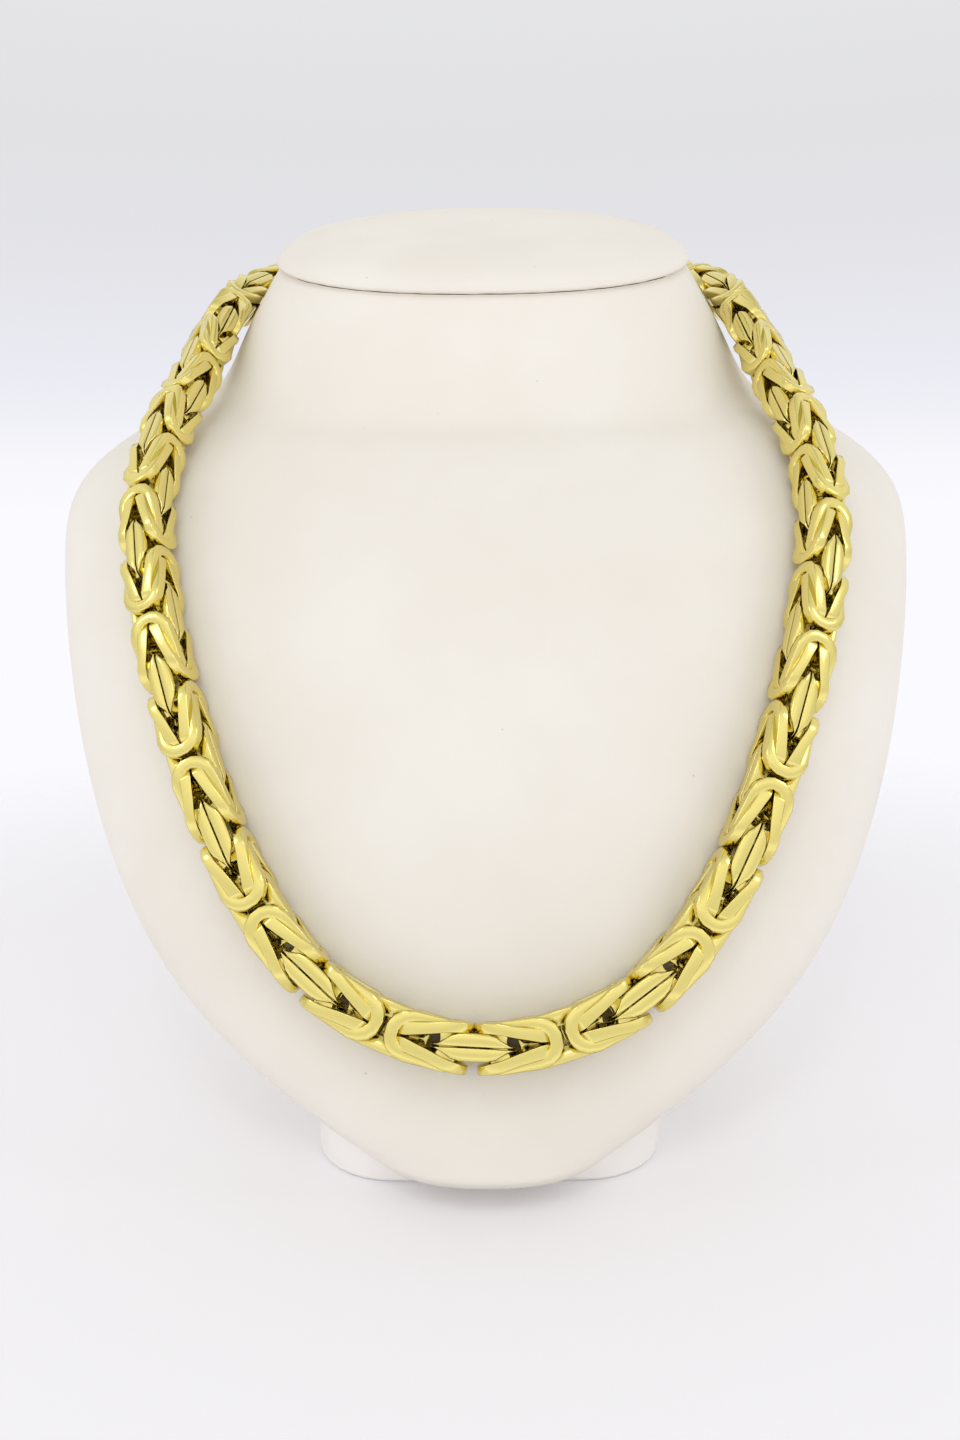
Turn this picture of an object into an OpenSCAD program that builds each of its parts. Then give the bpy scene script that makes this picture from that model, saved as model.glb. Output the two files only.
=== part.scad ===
// Byzantine chain necklace resting on a neck bust

/* [Chain] */
// Width of each of the chain's four faces
chain_w = 8; // [7:0.5:9]
// Width of the wire where it shows on a face
wire_w = 1.4; // [1.2:0.05:1.5]
// Depth of the wire under a face
wire_t = 1.1; // [0.9:0.05:1.2]
// Length of wire in each rounded link end
end_w = 1.8; // [1.6:0.1:2]
// Width of the arch that lies flat on a face
arch_w = 2.2; // [1.8:0.1:2.3]
// Clearance between links
link_gap = 0.3; // [0.25:0.01:0.35]
// Distance between the middles of two neighbouring connectors
pitch = 14.24; // [13.7:0.02:15]
// How far the chain is slid round from its even position
slide = -2.4; // [-5:0.2:5]
// Clearance between the chain and the bust
seat_gap = 0.3; // [0.2:0.05:0.5]

/* [Clasp] */
// Shortest length that the clasp's box may have
clasp_min = 10; // [8:0.5:12]
// Thickness of the clasp's cross bars
clasp_bar = 1.6; // [1.2:0.1:1.8]
// Clearance between the clasp's box and the links beside it
clasp_gap = 0.6; // [0.4:0.1:1]

/* [Bust] */
// Height of the neck's seam above the surface
bust_h = 167; // [151:2:183]
// Width across the shoulders
bust_w = 176.5; // [160:0.5:190]
// Depth from the chest's tip to the back of the neck
bust_d = 150; // [140:1:165]
// Height of the cap over the seam
cap_h = 6.4; // [5:0.2:9]
// Width of the foot
foot_w = 60; // [50:2:72]
// Depth of the foot
foot_d = 94; // [80:2:100]
// Height of the foot
foot_h = 12; // [8:1:16]
// How far the foot's front is set back behind the chest's tip
foot_back = 7; // [5:1:14]
// Radius of the foot's corners
foot_r = 14; // [8:1:20]
// Clearance at the bust's seams
seam_gap = 0.2; // [0.1:0.05:0.4]

/* [Hidden] */

gold = "gold";
leatherette = "ivory";

// The bust's sections from the tip up, which steer a smooth skin: height as a share of bust_h,
// centre, front and back as shares of bust_d, half width as a share of bust_w / 2, lean in degrees
sections = [
    // height, centre, half width, front, back, lean
    [0.0295, 0.077, 0.215, 0.097, 0.200, 0],
    [0.0835, 0.137, 0.442, 0.133, 0.253, 0],
    [0.180, 0.213, 0.680, 0.170, 0.280, 0],
    [0.323, 0.313, 0.839, 0.207, 0.280, 0],
    [0.479, 0.420, 0.935, 0.237, 0.267, 0],
    [0.611, 0.533, 0.997, 0.257, 0.267, 0],
    [0.707, 0.623, 1.023, 0.257, 0.267, 3],
    [0.790, 0.675, 0.852, 0.247, 0.260, 10.5],
    [0.816, 0.708, 0.678, 0.245, 0.262, 15.5],
    [0.909, 0.728, 0.616, 0.235, 0.267, 20],
    [1.000, 0.732, 0.512, 0.214, 0.273, 23.5]];
// Roundness of every section, where 2 is an ellipse
section_power = 2.3;
neck = len(sections) - 1;

// The right half of the chain's route over the bust, from the front to the nape: section,
// angle round the section, roll away from the surface in degrees and lift off the surface
route = [
    [1.55, -90, 0, 0],
    [1.95, -62.8, -4, 0],
    [3.24, -54.1, -7, 0.1],
    [4.85, -47.3, 12, 0],
    [6.53, -48.3, 9, 0],
    [7.77, -26.8, 15, 3.5],
    [8.19, -27, -6, 4.8],
    [9.12, -16.2, -11, 0.3],
    [9.17, 21.4, 2, 0.8],
    [9.49, 57, -11, 0.9],
    [9.44, 90, -5, 0.6]];
route_end = len(route) - 1;

// A point on a smooth curve steered by four values
function blend(a, b, c, d, u) =
    ((1 - u) * (1 - u) * (1 - u) * a + (3 * u * u * u - 6 * u * u + 4) * b
        + (-3 * u * u * u + 3 * u * u + 3 * u + 1) * c + u * u * u * d) / 6;
function unit(v) = v / norm(v);
// How far a full rounded outline reaches at an angle
function rounded(t) =
    pow(pow(abs(cos(t)), section_power) + pow(abs(sin(t)), section_power), -1 / section_power);

// The bust's section at a place between two rows, which meets the first and last row
function section_row(i) =
    i < 0 ? 2 * sections[0] - sections[1]
    : i > neck ? 2 * sections[neck] - sections[neck - 1] : sections[i];
function section_at(s) =
    let (i = max(0, min(floor(s), neck - 1)))
    blend(section_row(i - 1), section_row(i), section_row(i + 1), section_row(i + 2), s - i);
// A point on the bust's skin, with the chest's tip near y = 0
function skin(s, t) =
    let (r = section_at(s), reach = bust_d * (sin(t) < 0 ? r[3] : r[4]) * rounded(t) * sin(t))
    [bust_w / 2 * r[2] * rounded(t) * cos(t),
        bust_d * r[1] + reach * cos(r[5]), bust_h * r[0] + reach * sin(r[5])];
function skin_normal(s, t) =
    let (h = 0.02)
    unit(cross(skin(s, t + h) - skin(s, t - h), skin(s + h, t) - skin(s - h, t)));

// The route's row at a place along the half, carried on past both ends by mirroring
function route_row(i) =
    i < 0 ? let (r = route[-i]) [r[0], -180 - r[1], r[2], r[3]]
    : i > route_end ? let (r = route[2 * route_end - i]) [r[0], 180 - r[1], r[2], r[3]]
    : route[i];
function route_at(u) =
    let (i = max(0, min(floor(u), route_end - 1)))
    blend(route_row(i - 1), route_row(i), route_row(i + 1), route_row(i + 2), u - i);
// A turned square stands further off the skin than a flat one
function stand_off(roll) = chain_w / 2 * (abs(cos(roll)) + abs(sin(roll))) + seat_gap;
function across(p) = [-p[0], p[1], p[2]];
function close_normal(u) =
    u < 0 ? across(close_normal(-u))
    : u > route_end ? across(close_normal(2 * route_end - u))
    : let (r = route_at(u)) skin_normal(r[0], r[1]);
function close_track(u) =
    u < 0 ? across(close_track(-u))
    : u > route_end ? across(close_track(2 * route_end - u))
    : let (r = route_at(u)) skin(r[0], r[1]) + (stand_off(r[2]) + r[3]) * close_normal(u);
// The chain bridges small dips, so its track is a mean over this share of a row to each side
mean_reach = 0.3;
mean_steps = [-1, -0.5, 0, 0.5, 1];
mean_shares = [1, 2, 3, 2, 1] / 9;
function track(u) = mean_shares * [for (m = mean_steps) close_track(u + m * mean_reach)];
function track_normal(u) =
    unit(mean_shares * [for (m = mean_steps) close_normal(u + m * mean_reach)]);

// Distance along the route, kept against the place in the list
route_step = 0.05;
route_places = [for (u = [0:route_step:route_end + 0.001]) u];
route_points = [for (u = route_places) track(u)];
function running(i = 0, sum = 0, out = []) =
    i == len(route_points) ? out
    : let (d = i == 0 ? 0 : norm(route_points[i] - route_points[i - 1]))
        running(i + 1, sum + d, concat(out, [[sum + d, route_places[i]]]));
distances = running();
half_length = distances[len(distances) - 1][0];
loop_length = 2 * half_length;
// The chain has as many knots as leave room for the clasp, which fills the rest of the loop
knots = floor((loop_length - pitch - clasp_min) / pitch);
right_knots = floor(knots / 2);
left_knots = knots - right_knots;
clasp_room = loop_length - knots * pitch;

// Everything along the chain is asked for by its distance from the middle of the front
function wrap(s) = s > half_length ? s - loop_length : s < -half_length ? s + loop_length : s;
function place_of(s) = lookup(min(abs(s), half_length), distances);
function mirrored(p, s) = s < 0 ? across(p) : p;
function spot(s) = let (w = wrap(s)) mirrored(track(place_of(w)), w);
function run_dir(s) = unit(spot(s + 0.5) - spot(s - 0.5));
// The outward direction of the chain's front face
function face_dir(s) =
    let (w = wrap(s), place = place_of(w), roll = route_at(place)[2],
        n = mirrored(track_normal(place), w), t = run_dir(s), flat = unit(n - (n * t) * t))
    cos(roll) * flat + sin(roll) * cross(t, flat);

// Half the length over which a link follows the bend of the route
bend_reach = 5;
// Middle, three axes and the two bends of a link, turned in quarters about the chain
function link_frame(s, quarter, flip = false) =
    let (t = run_dir(s), z = face_dir(s), y = cross(z, t), q = 90 * quarter,
        v = cos(q) * y + sin(q) * z, u = cos(q) * z - sin(q) * y,
        bend = (run_dir(s + bend_reach) - run_dir(s - bend_reach)) / (2 * bend_reach),
        k = flip ? -1 : 1)
    [spot(s), k * t, v, k * u, bend * v, k * (bend * u)];
module placed(f) {
    multmatrix([for (i = [0:2]) [f[1][i], f[2][i], f[3][i], f[0][i]]]) children();
}

// Middle of the front of the object, so that the whole stands centred over the origin
front_y = spot(0)[1] - chain_w / 2 * (abs(face_dir(0)[1]) + abs(face_dir(0)[2]));
back_y = spot(half_length)[1] + chain_w / 2 * (abs(face_dir(half_length)[1])
    + abs(face_dir(half_length)[2]));
middle_y = (front_y + back_y) / 2;

// Where the links lie inside one unit, measured from the first connector's middle
face = chain_w / 2;
under = face - wire_t;
pair_in = link_gap / 2;
pair_out = pair_in + wire_w;
connector_half = pitch / 2 - link_gap / 2;
arch_end = pitch - 0.75 * link_gap;
hook_start = pitch / 2 - link_gap / 2 - 2 * end_w - link_gap;
knot_middle = (hook_start + arch_end) / 2;
link_round = 0.3 * chain_w;
hook_round = 0.8 * end_w;
window_round = 0.4 * end_w;
// How far before its arch an arm is level with the face, and how high it is past the connector
arm_rise = 0.6 * end_w;
arm_top = 0.4 * wire_t;
// Length by which a profile runs past its link's outline
overrun = 1;

// Corners of a rectangle with cut corners and points along its long sides
function cut_box(x0, x1, h, c0, c1) =
    let (m = (x0 + x1) / 2)
    [[x0, -h + c0], [x0 + c0, -h], [m, -h], [x1 - c1, -h], [x1, -h + c1],
        [x1, h - c1], [x1 - c1, h], [m, h], [x0 + c0, h], [x0, h - c0]];
// A link is its outline seen from one side cut to its profile seen from the other,
// and both follow the bend of the route at the link
cut_depth = 3 * chain_w;
module bent_link(outline, window, inner, outer, f) {
    level = [for (p = inner) [p[0], (p[1] + lookup(p[0], outer)) / 2]];
    // A chord is shorter than the arc that it spans
    function chord(x) = 1 - (f[4] * f[4] + f[5] * f[5]) * x * x / 6;
    function on_outline(p) =
        [p[0] * (chord(p[0]) - f[4] * p[1] - f[5] * lookup(p[0], level)),
            p[1] + f[4] * p[0] * p[0] / 2];
    function on_profile(p) = [p[0] * (chord(p[0]) - f[5] * p[1]), p[1] + f[5] * p[0] * p[0] / 2];
    profile = concat(inner, [for (i = [len(outer) - 1:-1:0]) outer[i]]);
    placed(f) intersection() {
        linear_extrude(height = cut_depth, center = true) difference() {
            polygon([for (p = outline) on_outline(p)]);
            polygon([for (p = window) on_outline(p)]);
        }
        rotate([90, 0, 0]) linear_extrude(height = cut_depth, center = true)
            polygon([for (p = profile) on_profile(p)]);
    }
}

// Two straight links side by side, which join one knot to the next
module connector(s, quarter) {
    h = connector_half;
    along = [for (x = [-h - overrun, -h / 2, 0, h / 2, h + overrun]) x];
    for (side = [-1, 1])
        bent_link(cut_box(-h, h, face, link_round, link_round),
            cut_box(end_w - h, h - end_w, under, window_round, window_round),
            [for (x = along) [x, side * pair_in]],
            [for (x = along) [x, side * pair_out]],
            link_frame(s, quarter));
}

// Two links that lie together where they hook a connector and spread to arches at the other end
module spread_pair(s, quarter, back) {
    shift = back ? pitch - knot_middle : knot_middle;
    // Where the arms come past the next connector's end, and where they reach the face
    clear_x = (pitch - link_gap) / 2 + link_round - wire_t;
    rise_x = arch_end - arch_w - arm_rise;
    inner = [[hook_start - overrun, pair_in], [hook_start + end_w, pair_in],
        [pitch / 2, under - link_gap - wire_w], [clear_x, pair_out + link_gap],
        [rise_x, under], [arch_end + overrun, under]];
    outer = [[hook_start - overrun, pair_out], [hook_start + end_w / 2, pair_out],
        [pitch / 2, under - link_gap], [clear_x, under + arm_top],
        [rise_x, face], [arch_end + overrun, face]];
    function local(list, side) = [for (p = list) [p[0] - knot_middle, side * p[1]]];
    x0 = hook_start - knot_middle;
    x1 = arch_end - knot_middle;
    for (side = [-1, 1])
        bent_link(cut_box(x0, x1, face, hook_round, link_round),
            cut_box(x0 + end_w, x1 - arch_w, under, window_round, window_round),
            local(inner, side), local(outer, side),
            link_frame(s + shift, back ? quarter : quarter + 1, back));
}
module knot(s, quarter) {
    spread_pair(s, quarter, false);
    spread_pair(s, quarter, true);
}

// Distance of a connector from the middle of the front
function connector_s(k) = slide + k * pitch;
// Each connector is turned a quarter against the last one
module chain_run(first, last) {
    color(gold) translate([0, -middle_y, 0]) for (k = [first:last]) {
        connector(connector_s(k), k + 1);
        knot(connector_s(k), k + 1);
    }
}
module chain_right() {
    chain_run(0, right_knots - 1);
    color(gold) translate([0, -middle_y, 0])
        connector(connector_s(right_knots), right_knots + 1);
}
module chain_left() {
    chain_run(-left_knots, -1);
}

// A box at the nape with a shackle at each end through the last connectors
module clasp() {
    box_len = clasp_room - 2 * connector_half - 2 * clasp_gap;
    box_s = connector_s(right_knots) + clasp_room / 2;
    hook = connector_half - end_w - link_gap - clasp_bar / 2;
    cheek = face - pair_out - 2 * link_gap;
    reach = clasp_room / 2 - hook - box_len / 2 + 1;
    color(gold) translate([0, -middle_y, 0]) {
        placed(link_frame(box_s, 0)) cube([box_len, chain_w, chain_w], center = true);
        for (k = [-1, 1])
            placed(link_frame(box_s + k * clasp_room / 2, k < 0 ? right_knots + 1 : 1 - left_knots)) {
                translate([-k * hook, 0, 0]) cube([clasp_bar, clasp_bar, chain_w], center = true);
                for (side = [-1, 1])
                    translate([-k * (hook + reach / 2), 0, side * (face - cheek / 2)])
                        cube([reach + clasp_bar, 2 * clasp_bar, cheek], center = true);
            }
    }
}

// Rings of points joined into one closed skin with flat ends
module loft(rings) {
    n = len(rings[0]);
    m = len(rings);
    faces = [
        [for (i = [0:n - 1]) i],
        [for (i = [n - 1:-1:0]) (m - 1) * n + i],
        for (j = [0:m - 2], i = [0:n - 1])
            let (a = j * n + i, b = j * n + (i + 1) % n)
            each [[a, a + n, b], [b, a + n, b + n]]];
    polyhedron([for (ring = rings, p = ring) p], faces, convexity = 6);
}

around = 48;
module bust_body() {
    color(leatherette) translate([0, -middle_y, 0]) difference() {
        loft([for (s = [0:1 / 3:neck + 0.01]) [for (i = [0:around - 1]) skin(s, i * 360 / around)]]);
        translate([-bust_w / 2, foot_back - seam_gap, -1])
            cube([bust_w, bust_d, foot_h + seam_gap + 1]);
    }
}

// The cap stands on the neck's sloping end: its height and its reach past the neck's edge
cap_profile = [[0, 0], [0.07, 0.031], [0.17, 0.022], [0.3, -0.005], [0.45, -0.031], [0.62, -0.123],
    [0.78, -0.242], [0.9, -0.376], [0.97, -0.509], [1, -0.641]];
module bust_cap() {
    r = sections[neck];
    function ring(h, k) = [for (i = [0:around - 1]) let (t = i * 360 / around,
        reach = (1 + k) * rounded(t))
        [bust_w / 2 * r[2] * reach * cos(t), bust_d * (sin(t) < 0 ? r[3] : r[4]) * reach * sin(t),
            h * cap_h + seam_gap]];
    color(leatherette) translate([0, bust_d * r[1] - middle_y, bust_h * r[0]])
        rotate([r[5], 0, 0]) loft([for (p = cap_profile) ring(p[0], p[1])]);
}

module bust_foot() {
    w = foot_w / 2 - foot_r;
    d = foot_d / 2 - foot_r;
    color(leatherette) translate([0, foot_back + foot_d / 2 - middle_y, 0])
        linear_extrude(height = foot_h) union() {
            square([foot_w, 2 * d], center = true);
            square([2 * w, foot_d], center = true);
            for (x = [-w, w], y = [-d, d]) translate([x, y]) circle(r = foot_r, $fn = 48);
        }
}

chain_left();
chain_right();
clasp();
bust_body();
bust_cap();
bust_foot();
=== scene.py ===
from math import cos, pi, radians, sin

import bmesh
import bpy
import numpy as np
from mathutils import Matrix, Vector


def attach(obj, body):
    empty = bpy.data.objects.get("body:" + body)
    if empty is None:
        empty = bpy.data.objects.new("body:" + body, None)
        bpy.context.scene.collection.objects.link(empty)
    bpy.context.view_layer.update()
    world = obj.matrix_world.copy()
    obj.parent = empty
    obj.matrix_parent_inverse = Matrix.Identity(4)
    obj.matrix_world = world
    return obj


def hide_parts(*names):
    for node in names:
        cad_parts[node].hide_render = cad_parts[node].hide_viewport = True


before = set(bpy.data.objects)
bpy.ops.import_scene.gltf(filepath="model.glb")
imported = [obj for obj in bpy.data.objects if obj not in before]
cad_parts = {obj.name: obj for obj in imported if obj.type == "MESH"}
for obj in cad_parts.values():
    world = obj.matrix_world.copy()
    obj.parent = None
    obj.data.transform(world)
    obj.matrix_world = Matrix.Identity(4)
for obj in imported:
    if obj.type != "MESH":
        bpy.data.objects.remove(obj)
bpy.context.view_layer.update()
scene = bpy.context.scene
mm = 0.001

print("camera and light")

view = {
    "focal": 45, "sensor": 36,         # mm, across the picture's width
    "place": (0.0, -253.26, 111.0),    # mm
    "lookDown": 10, "lookLeft": 0.3, "tilt": 0.5,   # degrees
}
# How bright the white surround is by the height of the direction, as a colour and a factor
surround = {
    "bands": [(0.0, "#FBFBFF", 1.0), (0.035, "#F8F7FC", 1.0), (0.07, "#F0F0F7", 1.0),
              (0.106, "#EBEBF3", 1.0), (0.184, "#E4E4E9", 1.0), (0.272, "#E2E2E4", 1.0),
              (0.36, "#E5E5E7", 1.0), (0.46, "#F0F0F2", 1.0), (0.62, "#FFFFFF", 1.0),
              (0.85, "#FFFFFF", 0.78), (1.0, "#FFFFFF", 0.56)],
    "front": 1.2,        # how much brighter it is on the side that the bust faces
    "frontFrom": 0.1, "frontTo": -0.6,   # Y of the direction from which it brightens, and where it is full
    "strength": 2.0,     # the bands are divided by it, because a ramp holds no value over 1
}
# Small lamps over and beside the camera, for the gold's glints: place in m, width in m and power in W
lamps = {
    "aim": (0, 0, 0.1),
    "each": [((-0.05, -0.5, 0.7), 0.14, 0.24), ((-0.55, -0.2, 0.5), 0.12, 0.13),
             ((0.55, -0.2, 0.5), 0.12, 0.13)],
}


def linear(hexColour):
    channels = [int(hexColour[i:i + 2], 16) / 255 for i in (1, 3, 5)]
    return [c / 12.92 if c <= 0.04045 else ((c + 0.055) / 1.055) ** 2.4 for c in channels] + [1.0]


# One node with its settings, its own values and what is linked into it
def addNode(tree, kind, settings=None, values=None, links=None):
    node = tree.nodes.new(kind)
    for name, value in (settings or {}).items():
        setattr(node, name, value)
    for socket, value in (values or {}).items():
        node.inputs[socket].default_value = value
    for socket, source in (links or {}).items():
        tree.links.new(source, node.inputs[socket])
    return node


cameraData = bpy.data.cameras.new("camera")
cameraData.sensor_fit = "HORIZONTAL"
cameraData.sensor_width = view["sensor"]
cameraData.lens = view["focal"]
cameraData.clip_start = 0.01
camera = bpy.data.objects.new("camera", cameraData)
camera.location = Vector(view["place"]) * mm
camera.rotation_euler = (Matrix.Rotation(radians(view["lookLeft"]), 3, "Z")
                         @ Matrix.Rotation(radians(90 - view["lookDown"]), 3, "X")
                         @ Matrix.Rotation(radians(-view["tilt"]), 3, "Z")).to_euler()
scene.collection.objects.link(camera)
scene.camera = camera
scene.view_settings.view_transform = "Standard"

# Soft studio light: white all round, a little darker where it is seen over the bust
world = bpy.data.worlds.new("white surround")
world.use_nodes = True
scene.world = world
tree = world.node_tree
tree.nodes.clear()
direction = addNode(tree, "ShaderNodeTexCoord")
compass = addNode(tree, "ShaderNodeSeparateXYZ", links={"Vector": direction.outputs["Generated"]})
ramp = addNode(tree, "ShaderNodeValToRGB", links={"Fac": compass.outputs["Z"]})
for number, (place, colour, factor) in enumerate(surround["bands"]):
    stop = ramp.color_ramp.elements[number] if number < 2 else ramp.color_ramp.elements.new(place)
    stop.position = place
    stop.color = [c * factor / surround["strength"] for c in linear(colour)[:3]] + [1.0]
facing = addNode(tree, "ShaderNodeMapRange", {"interpolation_type": "SMOOTHSTEP"},
                 values={"From Min": surround["frontFrom"], "From Max": surround["frontTo"],
                         "To Min": surround["strength"], "To Max": surround["strength"] * surround["front"]},
                 links={"Value": compass.outputs["Y"]})
cloth = addNode(tree, "ShaderNodeBackground",
                links={"Color": ramp.outputs["Color"], "Strength": facing.outputs["Result"]})
addNode(tree, "ShaderNodeOutputWorld", links={"Surface": cloth.outputs["Background"]})

for number, (place, size, power) in enumerate(lamps["each"]):
    lampData = bpy.data.lights.new(f"lamp {number}", "AREA")
    lampData.energy = power
    lampData.size = size
    lamp = bpy.data.objects.new(f"lamp {number}", lampData)
    lamp.location = place
    lamp.rotation_euler = (Vector(lamps["aim"]) - lamp.location).to_track_quat("-Z", "Y").to_euler()
    scene.collection.objects.link(lamp)

print("materials")


def newMaterial(name):
    material = bpy.data.materials.new(name)
    material.use_nodes = True
    material.node_tree.nodes.clear()
    return material


gold = {
    "colour": "#E8D882", "roughness": (0.1, 0.2),
    "polishMarks": 1.05,      # mm, drawn as coarse as they need to be to show
    "marksDepth": 0.006,      # mm
    "wear": 3.846,            # mm across the patches that are a little duller
}


# Yellow gold of 14 carat, pressed and polished: a bright even metal with faint marks of the buffing wheel
def polishedYellowGold():
    material = newMaterial("polished yellow gold")
    tree = material.node_tree
    place = addNode(tree, "ShaderNodeTexCoord")
    marks = addNode(tree, "ShaderNodeTexNoise",
                    values={"Scale": 1 / (gold["polishMarks"] * mm), "Detail": 3.0},
                    links={"Vector": place.outputs["Object"]})
    wear = addNode(tree, "ShaderNodeTexNoise", values={"Scale": 1 / (gold["wear"] * mm), "Detail": 2.0},
                   links={"Vector": place.outputs["Object"]})
    rough = addNode(tree, "ShaderNodeMapRange", values={"From Min": 0.35, "From Max": 0.65,
                    "To Min": gold["roughness"][0], "To Max": gold["roughness"][1]},
                    links={"Value": wear.outputs["Fac"]})
    bump = addNode(tree, "ShaderNodeBump", values={"Strength": 0.5, "Distance": gold["marksDepth"] * mm},
                   links={"Height": marks.outputs["Fac"]})
    surface = addNode(tree, "ShaderNodeBsdfPrincipled",
                      values={"Base Color": linear(gold["colour"]), "Metallic": 1.0},
                      links={"Roughness": rough.outputs["Result"], "Normal": bump.outputs["Normal"]})
    addNode(tree, "ShaderNodeOutputMaterial", links={"Surface": surface.outputs["BSDF"]})
    return material


leather = {
    "grain": 0.9,          # mm from one pebble to the next, coarser than real so that it shows
    "grainDepth": 0.02,    # mm
    "cloud": 28.0,         # mm across the soft patches of tone
    "backing": "#6E5844",  # the cloth that shows inside the seam
    "speck": 9.0,          # mm between the few specks of dust
    "speckSize": 0.026,    # share of that distance
    "speckTone": 0.3,
}


# Leatherette, PU on cloth: a matte cream skin with a fine embossed pebble grain
def leatherette(name, colour, patch):
    material = newMaterial(name)
    tree = material.node_tree
    place = addNode(tree, "ShaderNodeTexCoord").outputs["Object"]
    pebbles = addNode(tree, "ShaderNodeTexVoronoi", {"feature": "SMOOTH_F1"},
                      values={"Scale": 1 / (leather["grain"] * mm), "Smoothness": 0.6, "Randomness": 0.9},
                      links={"Vector": place})
    clouds = addNode(tree, "ShaderNodeTexNoise", values={"Scale": 1 / (leather["cloud"] * mm), "Detail": 3.0},
                     links={"Vector": place})
    fine = addNode(tree, "ShaderNodeTexNoise", values={"Scale": 3 / (leather["grain"] * mm), "Detail": 2.0},
                   links={"Vector": place})
    relief = addNode(tree, "ShaderNodeMath", {"operation": "MULTIPLY_ADD"}, values={1: 0.35},
                     links={0: fine.outputs["Fac"], 2: pebbles.outputs["Distance"]})
    tone = addNode(tree, "ShaderNodeMapRange", values={"From Min": 0.35, "From Max": 0.65},
                   links={"Value": clouds.outputs["Fac"]})
    cover = addNode(tree, "ShaderNodeMix", {"data_type": "RGBA"},
                    values={6: linear(colour), 7: linear(patch)}, links={"Factor": tone.outputs["Result"]})
    cells = addNode(tree, "ShaderNodeTexVoronoi", values={"Scale": 1 / (leather["speck"] * mm)},
                    links={"Vector": place})
    speck = addNode(tree, "ShaderNodeMapRange",
                    values={"From Min": leather["speckSize"], "From Max": leather["speckSize"] / 2,
                            "To Max": leather["speckTone"]},
                    links={"Value": cells.outputs["Distance"]})
    dusty = addNode(tree, "ShaderNodeMix", {"data_type": "RGBA"}, values={7: linear(leather["backing"])},
                    links={"Factor": speck.outputs["Result"], 6: cover.outputs[2]})
    seam = addNode(tree, "ShaderNodeAttribute", {"attribute_name": "seam"})
    inside = addNode(tree, "ShaderNodeMapRange", values={"From Min": 0.25, "From Max": 0.75},
                     links={"Value": seam.outputs["Fac"]})
    edged = addNode(tree, "ShaderNodeMix", {"data_type": "RGBA"}, values={7: linear(leather["backing"])},
                    links={"Factor": inside.outputs["Result"], 6: dusty.outputs[2]})
    bump = addNode(tree, "ShaderNodeBump", values={"Strength": 0.6, "Distance": leather["grainDepth"] * mm},
                   links={"Height": relief.outputs["Value"]})
    surface = addNode(tree, "ShaderNodeBsdfPrincipled",
                      values={"Roughness": 0.6, "Specular IOR Level": 0.3},
                      links={"Base Color": edged.outputs[2], "Normal": bump.outputs["Normal"]})
    addNode(tree, "ShaderNodeOutputMaterial", links={"Surface": surface.outputs["BSDF"]})
    return material


goldMaterial = polishedYellowGold()
bustMaterial = leatherette("cream leatherette", "#EFEAE0", "#EBE5DA")
# The foot's paler cream is painted light: it is the same leatherette as the body, made lighter to make up for
# the shade that the body casts on the foot
footPaintedLightMaterial = leatherette("cream leatherette of the foot, lightened as painted light", "#FBF7F3", "#F6F1EB")

print("bust")

bust = {
    "height": 167.0, "width": 176.5, "depth": 150.0,   # mm
    "roundness": 2.3,       # power of the sections: 2 is an ellipse, more is squarer
    "middle": 76.156,       # mm from the chest's tip back to the middle of the whole
    "around": 192,          # points in each ring
    "lip": 1.4,             # mm that the leatherette turns in at the seam
    "seamGap": 0.08,        # mm from the body's edge up to the cap's
    "pucker": 0.2,          # mm that the stitched edge draws in
}
# height, centre, half width, front, back and lean of the bust's sections, from the chest's tip up
sections = np.array([
    [0.0295, 0.077, 0.215, 0.097, 0.200, 0], [0.0835, 0.137, 0.442, 0.133, 0.253, 0],
    [0.180, 0.213, 0.680, 0.170, 0.280, 0], [0.323, 0.313, 0.839, 0.207, 0.280, 0],
    [0.479, 0.420, 0.935, 0.237, 0.267, 0], [0.611, 0.533, 0.997, 0.257, 0.267, 0],
    [0.707, 0.623, 1.023, 0.257, 0.267, 3], [0.790, 0.675, 0.852, 0.247, 0.260, 10.5],
    [0.816, 0.708, 0.678, 0.245, 0.262, 15.5], [0.909, 0.728, 0.616, 0.235, 0.267, 20],
    [1.000, 0.732, 0.512, 0.214, 0.273, 23.5]])
neckPlace = len(sections) - 1


# Rows of values blended smoothly, with one spare row at each end of the list
def blendRows(rows, place):
    first = np.clip(np.floor(place).astype(int), 0, len(rows) - 4)
    u = (place - first)[:, None]
    shares = ((1 - u) ** 3, 3 * u ** 3 - 6 * u ** 2 + 4, -3 * u ** 3 + 3 * u ** 2 + 3 * u + 1, u ** 3)
    return sum(share * rows[first + k] for k, share in enumerate(shares)) / 6


sectionRows = np.vstack([2 * sections[0] - sections[1], sections, 2 * sections[-1] - sections[-2]])


def roundedReach(angle):
    power = bust["roundness"]
    return (np.abs(np.cos(angle)) ** power + np.abs(np.sin(angle)) ** power) ** (-1 / power)


# Points on the bust's skin in mm, at places along the sections and angles round them: share widens
# the section, swell adds a width in mm, and lift raises it along its lean
def skin(place, angle, share=0.0, swell=0.0, lift=0.0):
    row = blendRows(sectionRows, np.asarray(place, float))
    reach = bust["depth"] * np.where(np.sin(angle) < 0, row[:, 3], row[:, 4]) * (1 + share)
    reach = (reach + swell) * roundedReach(angle) * np.sin(angle)
    lean = np.radians(row[:, 5])
    across = (bust["width"] / 2 * row[:, 2] * (1 + share) + swell) * roundedReach(angle) * np.cos(angle)
    back = bust["depth"] * row[:, 1] + reach * np.cos(lean) - lift * np.sin(lean)
    up = bust["height"] * row[:, 0] + reach * np.sin(lean) + lift * np.cos(lean)
    return np.stack([across, back - bust["middle"], up], axis=1)


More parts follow.
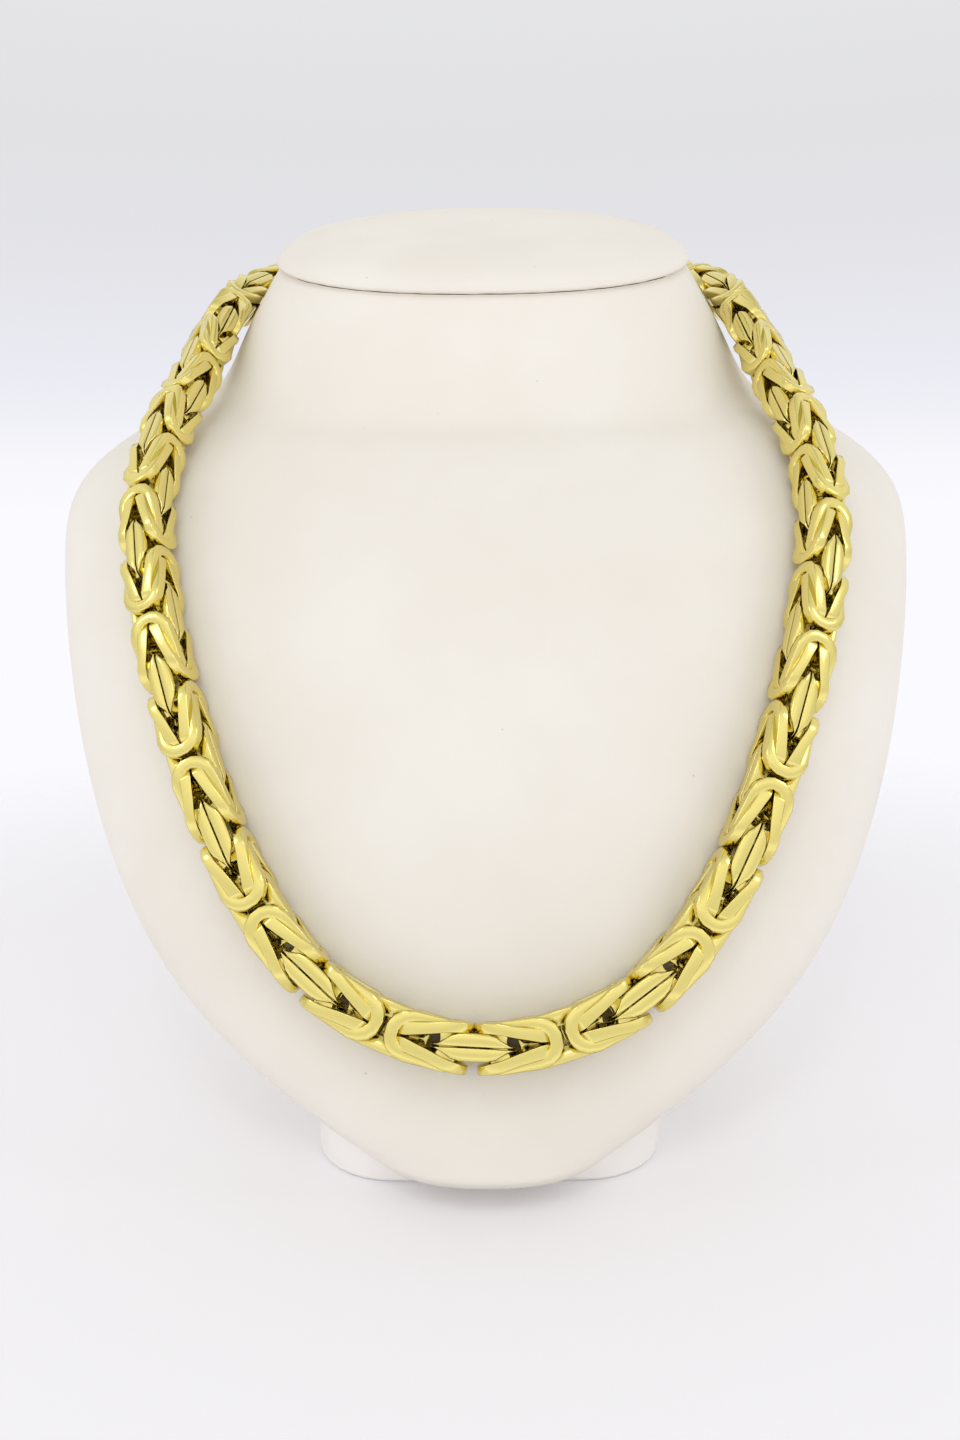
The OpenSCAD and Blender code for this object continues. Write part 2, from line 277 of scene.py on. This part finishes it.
def skinNormal(place, angle):
    step = 0.02
    sideways = skin(place, angle + radians(step)) - skin(place, angle - radians(step))
    along = skin(place + step, angle) - skin(place - step, angle)
    normal = np.cross(sideways, along)
    return normal / np.linalg.norm(normal, axis=1, keepdims=True)


# A closed skin through rings of points, with a flat or fanned end at each side
def loftMesh(name, rings, material):
    build = bmesh.new()
    rows = [[build.verts.new(Vector(point) * mm) for point in ring] for ring in rings]
    count = len(rings[0])
    for low, high in zip(rows, rows[1:]):
        for i in range(count):
            build.faces.new((low[i], low[(i + 1) % count], high[(i + 1) % count], high[i]))
    for row in (rows[0], rows[-1]):
        middle = build.verts.new(sum((v.co for v in row), Vector()) / count)
        for i in range(count):
            build.faces.new((row[i], row[(i + 1) % count], middle))
    bmesh.ops.recalc_face_normals(build, faces=build.faces[:])
    return finishMesh(name, build, material)


def finishMesh(name, build, material):
    mesh = bpy.data.meshes.new(name)
    for face in build.faces:
        face.smooth = True
    build.to_mesh(mesh)
    build.free()
    mesh.materials.append(material)
    made = bpy.data.objects.new(name, mesh)
    scene.collection.objects.link(made)
    return made


# Which points of a loft lie inside the seam, where the leatherette's brown backing shows
def markSeam(made, firstRing, ringCount):
    inside = np.zeros(len(made.data.vertices), np.float32)
    inside[firstRing * bust["around"]:(firstRing + ringCount) * bust["around"]] = 1
    made.data.attributes.new("seam", "FLOAT", "POINT").data.foreach_set("value", inside)


# The object's modifiers turned into its mesh
def applyModifiers(made):
    graph = bpy.context.evaluated_depsgraph_get()
    mesh = bpy.data.meshes.new_from_object(made.evaluated_get(graph))
    made.modifiers.clear()
    made.data = mesh
    return made


angles = np.arange(bust["around"]) * 2 * pi / bust["around"]
top = np.full(len(angles), float(neckPlace))


# How much the stitched edge draws in round the seam, with no step where the round closes
def pucker(angle):
    waves = 0.5 * np.sin(37 * angle) + 0.3 * np.sin(61 * angle + 1.3) + 0.2 * np.sin(23 * angle + 4)
    return bust["pucker"] * waves


places = np.append(np.linspace(0, neckPlace - 0.28, 64), neckPlace - np.array([0.18, 0.1, 0.05]))
rings = [skin(np.full(len(angles), place), angles) for place in places]
# swell and lift in mm and how much is drawn in, from under the seam over its edge and inside
turnedIn = [(0.0, -0.3, 0.3), (0.0, -0.1, 0.8), (-0.06, -0.02, 1.0), (-bust["lip"], 0.0, 0.0)]
rings += [skin(top, angles, 0.0, swell + drawn * pucker(angles), lift) for swell, lift, drawn in turnedIn]
bustBody = loftMesh("bustBody", rings, bustMaterial)
markSeam(bustBody, len(rings) - 2, 2)

foot = {
    "width": 60.0, "depth": 94.0, "height": 12.0,   # mm
    "round": 14.0,   # radius of its corners
    "back": 7.0,     # how far it stands back from the chest's tip
    "edge": 1.0,     # softening of its flat edges
    "gap": 0.2,      # round it in the body's recess
}


# A box with its upright edges rounded and its flat edges softened
def roundedBox(name, low, high, corner, softening, material):
    build = bmesh.new()
    bmesh.ops.create_cube(build, size=1.0)
    size = Vector(high) - Vector(low)
    for vert in build.verts:
        vert.co = Vector([(l + (c + 0.5) * s) * mm for l, c, s in zip(low, vert.co, size)])
    if corner:
        uprights = [e for e in build.edges if abs(e.verts[0].co.z - e.verts[1].co.z) > 1e-6]
        bmesh.ops.bevel(build, geom=uprights, offset=corner * mm, segments=8, affect="EDGES", profile=0.5)
    if softening:
        flats = [e for e in build.edges if len(e.link_faces) == 2 and e.calc_face_angle(0) > radians(45)]
        bmesh.ops.bevel(build, geom=flats, offset=softening * mm, segments=3, affect="EDGES", profile=0.5)
    bmesh.ops.recalc_face_normals(build, faces=build.faces[:])
    return finishMesh(name, build, material)


footFront = foot["back"] - bust["middle"]
cutter = roundedBox("cutter", (-bust["width"], footFront - foot["gap"], -foot["height"]),
                    (bust["width"], footFront + bust["depth"], foot["height"] + foot["gap"]), 0, 0,
                    bustMaterial)
cut = bustBody.modifiers.new("foot recess", "BOOLEAN")
cut.operation = "DIFFERENCE"
cut.solver = "EXACT"
cut.object = cutter
applyModifiers(bustBody)
bpy.data.objects.remove(cutter)
bustFoot = roundedBox("bustFoot", (-foot["width"] / 2, footFront, 0),
                      (foot["width"] / 2, footFront + foot["depth"], foot["height"]),
                      foot["round"], foot["edge"], footPaintedLightMaterial)

cap = {
    "height": 6.4,        # mm
    "drawn": 0.8,         # share of the body's pucker, for the lowest rings only
    "drawnBelow": 0.03,   # share of the height
}
# height as a share of the cap's and how far it widens the neck's section, from the seam to the crown
capProfile = [(0.0, -0.04), (0.0, -0.002), (0.025, 0.008), (0.07, 0.025), (0.17, 0.022), (0.3, -0.005),
              (0.45, -0.031), (0.62, -0.123), (0.78, -0.242), (0.9, -0.376), (0.97, -0.509), (1.0, -0.641),
              (1.01, -0.8), (1.015, -0.93)]
capRings = []
for rise, share in capProfile:
    drawn = cap["drawn"] if rise < cap["drawnBelow"] else 0.0
    capRings.append(skin(top, angles, share, drawn * pucker(angles + 1),
                         rise * cap["height"] + bust["seamGap"]))
bustCap = loftMesh("bustCap", capRings, bustMaterial)
markSeam(bustCap, 0, 1)

print("chain's route")

# section, angle round it, roll away from the skin and lift off it, for the right half from front to nape
route = np.array([
    [1.55, -90, 0, 0], [1.95, -62.8, -4, 0], [3.24, -54.1, -7, 0.1], [4.85, -47.3, 12, 0],
    [6.53, -48.3, 9, 0], [7.77, -26.8, 15, 3.5], [8.19, -27, -6, 4.8], [9.12, -16.2, -11, 0.3],
    [9.17, 21.4, 2, 0.8], [9.49, 57, -11, 0.9], [9.44, 90, -5, 0.6]])
chain = {
    "width": 8.0, "pitch": 14.24, "slide": -2.4, "seat": 0.3,   # mm
    "leftKnots": 19, "rightKnots": 19,
    "meanReach": 0.3,   # rows to each side over which the chain bridges a dip
    "looseness": 0.8,   # degrees that a link may sit off true
    "seed": 7,
}
before = route[1] * [1, -1, 1, 1] + [0, -180, 0, 0]
after = route[-2] * [1, -1, 1, 1] + [0, 180, 0, 0]
routeRows = np.vstack([before, route, after])
steps = np.linspace(0, len(route) - 1, 801)
row = blendRows(routeRows, steps)
turn = np.radians(row[:, 2])
mirror = np.array([-1, 1, 1])


# Each value as the mean over a stretch of the loop, whose other half is the mirror image
def meanAlong(values):
    reach = round(chain["meanReach"] / 2 * (len(steps) - 1) / (len(route) - 1))
    longer = np.vstack([values[2 * reach:0:-1] * mirror, values, values[-2:-2 * reach - 2:-1] * mirror])
    shares = (1, 2, 3, 2, 1)
    return sum(s * longer[k * reach:k * reach + len(values)] for k, s in enumerate(shares)) / sum(shares)


normal = skinNormal(row[:, 0], np.radians(row[:, 1]))
standOff = chain["width"] / 2 * (np.abs(np.cos(turn)) + np.abs(np.sin(turn))) + chain["seat"] + row[:, 3]
half = meanAlong(skin(row[:, 0], np.radians(row[:, 1])) + standOff[:, None] * normal)
normal = meanAlong(normal)
normal /= np.linalg.norm(normal, axis=1, keepdims=True)
along = np.gradient(half, axis=0)
along[0], along[-1] = (1, 0, 0), (-1, 0, 0)
along /= np.linalg.norm(along, axis=1, keepdims=True)
flat = normal - np.sum(normal * along, axis=1, keepdims=True) * along
flat /= np.linalg.norm(flat, axis=1, keepdims=True)
outward = np.cos(turn)[:, None] * flat + np.sin(turn)[:, None] * np.cross(along, flat)
loopPoints = np.vstack([(half * mirror)[::-1], half[1:]])
loopOutward = np.vstack([(outward * mirror)[::-1], outward[1:]])
halfLength = np.linalg.norm(np.diff(half, axis=0), axis=1).sum()

routeMesh = bpy.data.meshes.new("route")
routeEdges = [(i, i + 1) for i in range(len(loopPoints) - 1)]
routeMesh.from_pydata([Vector(point) * mm for point in loopPoints], routeEdges, [])
outwardAttribute = routeMesh.attributes.new("outward", "FLOAT_VECTOR", "POINT")
outwardAttribute.data.foreach_set("vector", loopOutward.astype(np.float32).ravel())

print("links")

connector = {
    "half": 6.97, "wide": 4.0, "wire": 2.4, "bow": 2.9,   # mm
    "end": (2.5, 2.5), "window": (1.6, 2.5),              # reach and roundness of the ends
    # Distance from the middle and how wide each bar is there, mm
    "barWidths": [(0, 2.16), (2.2, 2.1), (3.4, 1.86), (4.3, 1.4), (4.9, 0.9), (5.6, 0.5)],
    "parting": 0.1,   # from the middle plane to each bar
    "edge": 0.24, "crown": 0.05,
}
# hook and arch are the ends of a link, in mm from the middle of the connector that it hooks
spread = {
    "hook": 2.25, "arch": 14.07, "wide": 4.0, "arm": 2.2, "waist": 7.3,
    "archBand": 2.2, "archEnd": (4.0, 2.05), "archWindow": (1.8, 2.05),
    "hookBand": 3.1, "hookEnd": (1.3, 4.5), "hookWindow": (1.0, 2.5),
    # Distance from that connector and the height there of the link's two faces
    "low": [(2.25, 0.1), (4.6, 0.1), (7.3, 1.15), (10.1, 1.95), (12.6, 2.5)],
    "high": [(2.25, 1.4), (3.2, 1.9), (4.8, 2.35), (7.3, 3.05), (10.1, 3.8), (12.0, 4.0)],
    "edge": 0.25, "crown": 0.05,
}
linkMiddle = (spread["hook"] + spread["arch"]) / 2


def roundEnd(middle, reach, wide, roundness, angle):
    power = 2 / roundness
    return Vector((middle + reach * abs(cos(angle)) ** power * (1 if cos(angle) >= 0 else -1),
                   wide * abs(sin(angle)) ** power * (1 if sin(angle) >= 0 else -1)))


# A closed ring of wire: stations round it, each an outer and an inner point and the heights below and
# above. The face that shows, which is the outer side or the top, is crowned a little
def addRing(build, stations, form, topShows, turnOver):
    rows = []
    edge, crown = form["edge"], form["crown"]
    for outer, inner, low, high in stations:
        across = (outer - inner).normalized()
        corners = [(inner, low), (outer - across * edge / 2, low), (outer, low + edge / 2)]
        corners += [] if topShows else [(outer + across * crown, (low + high) / 2)]
        corners += [(outer, high - edge), (outer - across * edge, high)]
        corners += [((outer + inner) / 2, high + crown), (inner + across * edge, high),
                    (inner, high - edge)] if topShows else [(inner, high)]
        side = -1 if turnOver else 1
        rows.append([build.verts.new((p.x * mm, side * p.y * mm, side * z * mm)) for p, z in corners])
    count = len(rows[0])
    for this, following in zip(rows, rows[1:] + rows[:1]):
        for i in range(count):
            build.faces.new((this[i], this[(i + 1) % count], following[(i + 1) % count], following[i]))


# Two straight rings side by side: their long sides are the twin bars on a face
def connectorPair():
    c = connector
    stations = []
    for side in (1, -1):
        for degrees in (-90, -62, -38, -12, 12, 38, 62, 90):
            angle = radians(degrees)
            outer = roundEnd(c["half"] - c["end"][0], c["end"][0], c["wide"], c["end"][1], angle)
            inner = roundEnd(c["half"] - c["bow"] - c["window"][0], c["window"][0], c["wide"] - c["wire"],
                             c["window"][1], angle)
            stations.append([outer * side, inner * side])
        for x in (3.5, 2.2, 0.0, -2.2, -3.5):
            stations.append([Vector((x * side, side * c["wide"])),
                             Vector((x * side, side * (c["wide"] - c["wire"])))])
    build = bmesh.new()
    for turnOver in (False, True):
        full = []
        for outer, inner in stations:
            width = float(np.interp(abs(outer.x), *zip(*c["barWidths"])))
            full.append((outer, inner, c["parting"], width))
        addRing(build, full, c, False, turnOver)
    bmesh.ops.recalc_face_normals(build, faces=build.faces[:])
    return finishMesh("connectorPair", build, goldMaterial)


# Two rings that lie together where they hook a connector and open out to an arch on opposite faces
def spreadPair():
    c = spread
    stations = []
    archX, hookX = c["arch"] - linkMiddle, c["hook"] - linkMiddle
    for degrees in (-90, -62, -38, -14, 14, 38, 62, 90):
        angle = radians(degrees)
        stations.append((roundEnd(archX - c["archEnd"][0], c["archEnd"][0], c["wide"],
                                  c["archEnd"][1], angle),
                         roundEnd(archX - c["archBand"] - c["archWindow"][0], c["archWindow"][0],
                                  c["wide"] - c["arm"], c["archWindow"][1], angle)))
    waist = c["waist"] - linkMiddle
    stations.append((Vector((waist, c["wide"])), Vector((waist, c["wide"] - c["arm"]))))
    for degrees in (90, 130, 160, 200, 230, 270):
        angle = radians(degrees)
        stations.append((roundEnd(hookX + c["hookEnd"][0], c["hookEnd"][0], c["wide"],
                                  c["hookEnd"][1], angle),
                         roundEnd(hookX + c["hookBand"] + c["hookWindow"][0], c["hookWindow"][0],
                                  c["wide"] - c["arm"], c["hookWindow"][1], angle)))
    stations.append((Vector((waist, -c["wide"])), Vector((waist, c["arm"] - c["wide"]))))
    build = bmesh.new()
    for turnOver in (False, True):
        full = []
        for outer, inner in stations:
            x = (outer.x + inner.x) / 2 + linkMiddle
            low = float(np.interp(x, *zip(*c["low"])))
            high = float(np.interp(x, *zip(*c["high"])))
            full.append((outer, inner, low, high))
        addRing(build, full, c, True, turnOver)
    bmesh.ops.recalc_face_normals(build, faces=build.faces[:])
    return finishMesh("spreadPair", build, goldMaterial)


def newTree(name, inputs):
    tree = bpy.data.node_groups.new(name, "GeometryNodeTree")
    for label, kind in inputs:
        tree.interface.new_socket(label, in_out="INPUT", socket_type=kind)
    tree.interface.new_socket("Geometry", in_out="OUTPUT", socket_type="NodeSocketGeometry")
    return tree


# One link form set along the route, each copy a pitch further on and a quarter turn round
def rowOfLinks():
    tree = newTree("row of links", [
        ("Route", "NodeSocketGeometry"), ("Link", "NodeSocketObject"), ("Count", "NodeSocketInt"),
        ("First Unit", "NodeSocketInt"), ("Start", "NodeSocketFloat"), ("Pitch", "NodeSocketFloat"),
        ("Offset", "NodeSocketFloat"), ("Quarter", "NodeSocketFloat"), ("Direction", "NodeSocketFloat"),
        ("Link Size", "NodeSocketFloat"), ("Looseness", "NodeSocketFloat"), ("Seed", "NodeSocketInt")])
    given = addNode(tree, "NodeGroupInput").outputs
    index = addNode(tree, "GeometryNodeInputIndex")
    unit = addNode(tree, "ShaderNodeMath", {"operation": "ADD"},
                   links={0: index.outputs["Index"], 1: given["First Unit"]})
    begin = addNode(tree, "ShaderNodeMath", {"operation": "ADD"},
                    links={0: given["Start"], 1: given["Offset"]})
    distance = addNode(tree, "ShaderNodeMath", {"operation": "MULTIPLY_ADD"},
                       links={0: unit.outputs["Value"], 1: given["Pitch"], 2: begin.outputs["Value"]})
    outwardField = addNode(tree, "GeometryNodeInputNamedAttribute", {"data_type": "FLOAT_VECTOR"},
                           values={"Name": "outward"})
    spot = addNode(tree, "GeometryNodeSampleCurve",
                   {"mode": "LENGTH", "data_type": "FLOAT_VECTOR", "use_all_curves": True},
                   links={"Curves": given["Route"], "Value": outwardField.outputs["Attribute"],
                          "Length": distance.outputs["Value"]})
    points = addNode(tree, "GeometryNodePoints", links={"Count": given["Count"]})
    placed = addNode(tree, "GeometryNodeSetPosition",
                     links={"Geometry": points.outputs[0], "Position": spot.outputs["Position"]})
    forward = addNode(tree, "ShaderNodeVectorMath", {"operation": "SCALE"},
                      links={"Vector": spot.outputs["Tangent"], "Scale": given["Direction"]})
    out = addNode(tree, "ShaderNodeVectorMath", {"operation": "SCALE"},
                  links={"Vector": spot.outputs["Value"], "Scale": given["Direction"]})
    axes = addNode(tree, "FunctionNodeAxesToRotation", {"primary_axis": "X", "secondary_axis": "Z"},
                   links={"Primary Axis": forward.outputs["Vector"], "Secondary Axis": out.outputs["Vector"]})
    quarters = addNode(tree, "ShaderNodeMath", {"operation": "ADD"},
                       links={0: unit.outputs["Value"], 1: given["Quarter"]})
    signed = addNode(tree, "ShaderNodeMath", {"operation": "MULTIPLY"},
                     links={0: quarters.outputs["Value"], 1: given["Direction"]})
    angle = addNode(tree, "ShaderNodeMath", {"operation": "MULTIPLY"}, values={1: pi / 2},
                    links={0: signed.outputs["Value"]})
    twist = addNode(tree, "FunctionNodeAxisAngleToRotation", values={"Axis": (1, 0, 0)},
                    links={"Angle": angle.outputs["Value"]})
    turned = addNode(tree, "FunctionNodeRotateRotation", {"rotation_space": "LOCAL"},
                     links={"Rotation": axes.outputs["Rotation"], "Rotate By": twist.outputs["Rotation"]})
    least = addNode(tree, "ShaderNodeMath", {"operation": "MULTIPLY"}, values={1: -1.0},
                    links={0: given["Looseness"]})
    shake = addNode(tree, "FunctionNodeRandomValue", {"data_type": "FLOAT_VECTOR"},
                    links={0: least.outputs["Value"], 1: given["Looseness"], "Seed": given["Seed"]})
    loose = addNode(tree, "FunctionNodeEulerToRotation", links={0: shake.outputs[0]})
    rested = addNode(tree, "FunctionNodeRotateRotation", {"rotation_space": "LOCAL"},
                     links={"Rotation": turned.outputs["Rotation"], "Rotate By": loose.outputs["Rotation"]})
    link = addNode(tree, "GeometryNodeObjectInfo", links={"Object": given["Link"]})
    copies = addNode(tree, "GeometryNodeInstanceOnPoints",
                     links={"Points": placed.outputs["Geometry"], "Instance": link.outputs["Geometry"],
                            "Rotation": rested.outputs["Rotation"], "Scale": given["Link Size"]})
    addNode(tree, "NodeGroupOutput", links={0: copies.outputs["Instances"]})
    return tree


# Connectors and the two spread pairs of every knot, joined along one route
def byzantineTree(row):
    tree = newTree("byzantine chain", [
        ("Route", "NodeSocketGeometry"), ("Connector", "NodeSocketObject"),
        ("Spread Pair", "NodeSocketObject"), ("Knots", "NodeSocketInt"),
        ("Connectors", "NodeSocketInt"), ("First Unit", "NodeSocketInt"),
        ("Start", "NodeSocketFloat"), ("Pitch", "NodeSocketFloat"), ("Link Middle", "NodeSocketFloat"),
        ("Link Size", "NodeSocketFloat"), ("Looseness", "NodeSocketFloat"), ("Seed", "NodeSocketInt"),
        ("Gold", "NodeSocketMaterial")])
    given = addNode(tree, "NodeGroupInput").outputs
    curve = addNode(tree, "GeometryNodeMeshToCurve", links={0: given["Route"]})
    farMiddle = addNode(tree, "ShaderNodeMath", {"operation": "SUBTRACT"},
                        links={0: given["Pitch"], 1: given["Link Middle"]})
    together = addNode(tree, "GeometryNodeJoinGeometry")
    forms = [("Connector", "Connectors", None, 1.0, 1.0),
             ("Spread Pair", "Knots", given["Link Middle"], 2.0, 1.0),
             ("Spread Pair", "Knots", farMiddle.outputs["Value"], 1.0, -1.0)]
    for form, count, offset, quarter, direction in forms:
        links = {"Route": curve.outputs[0], "Link": given[form], "Count": given[count]}
        links.update({name: given[name] for name in
                      ("First Unit", "Start", "Pitch", "Link Size", "Looseness", "Seed")})
        if offset:
            links["Offset"] = offset
        node = addNode(tree, "GeometryNodeGroup", {"node_tree": row},
                       values={"Quarter": quarter, "Direction": direction}, links=links)
        tree.links.new(node.outputs[0], together.inputs[0])
    real = addNode(tree, "GeometryNodeRealizeInstances", links={0: together.outputs[0]})
    golden = addNode(tree, "GeometryNodeSetMaterial", links={0: real.outputs[0], "Material": given["Gold"]})
    addNode(tree, "NodeGroupOutput", links={0: golden.outputs[0]})
    return tree


connectorForm = connectorPair()
spreadForm = spreadPair()
chainTree = byzantineTree(rowOfLinks())


# Shading that follows the large faces, so that the flat ones reflect as flat
def keepFlats(made):
    weigh = made.modifiers.new("flat faces stay flat", "WEIGHTED_NORMAL")
    weigh.weight = 80
    return applyModifiers(made)


def makeChain(name, firstUnit, knots, connectors):
    made = bpy.data.objects.new(name, routeMesh.copy())
    scene.collection.objects.link(made)
    nodes = made.modifiers.new("byzantine chain", "NODES")
    nodes.node_group = chainTree
    given = {
        "Connector": connectorForm, "Spread Pair": spreadForm, "Knots": knots, "Connectors": connectors,
        "First Unit": firstUnit, "Start": (halfLength + chain["slide"]) * mm, "Pitch": chain["pitch"] * mm,
        "Link Middle": linkMiddle * mm, "Link Size": chain["width"] / (2 * spread["wide"]),
        "Looseness": radians(chain["looseness"]), "Seed": chain["seed"], "Gold": goldMaterial}
    for item in chainTree.interface.items_tree:
        if item.in_out == "INPUT" and item.name in given:
            nodes[item.identifier] = given[item.name]
    applyModifiers(made)
    return keepFlats(made)


chainRight = makeChain("chainRight", 0, chain["rightKnots"], chain["rightKnots"] + 1)
chainLeft = makeChain("chainLeft", -chain["leftKnots"], chain["leftKnots"], chain["leftKnots"])
for form in (connectorForm, spreadForm):
    bpy.data.objects.remove(form)

print("clasp")

clasp = {"softening": 0.28, "segments": 2}   # mm by which the polishing rounds its edges

# The plain box clasp and its two shackles: the CAD solid, merged, with its edges rounded by the polishing
build = bmesh.new()
build.from_mesh(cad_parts["clasp"].data)
bmesh.ops.remove_doubles(build, verts=build.verts[:], dist=0.001 * mm)
bmesh.ops.dissolve_limit(build, angle_limit=radians(1), verts=build.verts[:], edges=build.edges[:])
sharp = [e for e in build.edges if len(e.link_faces) == 2 and e.calc_face_angle_signed(0) > radians(30)]
bmesh.ops.bevel(build, geom=sharp, offset=clasp["softening"] * mm, segments=clasp["segments"], affect="EDGES",
                profile=0.5, clamp_overlap=True)
claspBox = keepFlats(finishMesh("claspBox", build, goldMaterial))

print("floor")

ground = {"colour": "#FDFCFF", "radius": 2.5, "fadeFrom": 0.13, "fadeTo": 0.36}   # m

# White acrylic sheet that runs out into the white surround
floorMaterial = newMaterial("white acrylic sheet")
tree = floorMaterial.node_tree
place = addNode(tree, "ShaderNodeTexCoord")
away = addNode(tree, "ShaderNodeVectorMath", {"operation": "LENGTH"}, links={0: place.outputs["Object"]})
fade = addNode(tree, "ShaderNodeMapRange", {"interpolation_type": "SMOOTHSTEP"},
               values={"From Min": ground["fadeFrom"], "From Max": ground["fadeTo"]},
               links={"Value": away.outputs["Value"]})
sheet = addNode(tree, "ShaderNodeBsdfPrincipled",
                values={"Base Color": linear(ground["colour"]), "Roughness": 0.6, "Specular IOR Level": 0.2})
clear = addNode(tree, "ShaderNodeBsdfTransparent")
surface = addNode(tree, "ShaderNodeMixShader",
                  links={0: fade.outputs["Result"], 1: sheet.outputs["BSDF"], 2: clear.outputs["BSDF"]})
addNode(tree, "ShaderNodeOutputMaterial", links={"Surface": surface.outputs["Shader"]})
build = bmesh.new()
bmesh.ops.create_circle(build, cap_ends=True, segments=96, radius=ground["radius"])
floor = finishMesh("floor", build, floorMaterial)

pieces = [(chainLeft, "chain_left", "gold"), (chainRight, "chain_right", "gold"),
          (claspBox, "clasp", "gold"), (bustBody, "bust_body", "leatherette"),
          (bustCap, "bust_cap", "leatherette"), (bustFoot, "bust_foot", "foot_leatherette")]
for piece, node, slot in pieces:
    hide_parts(node)
    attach(piece, "root")
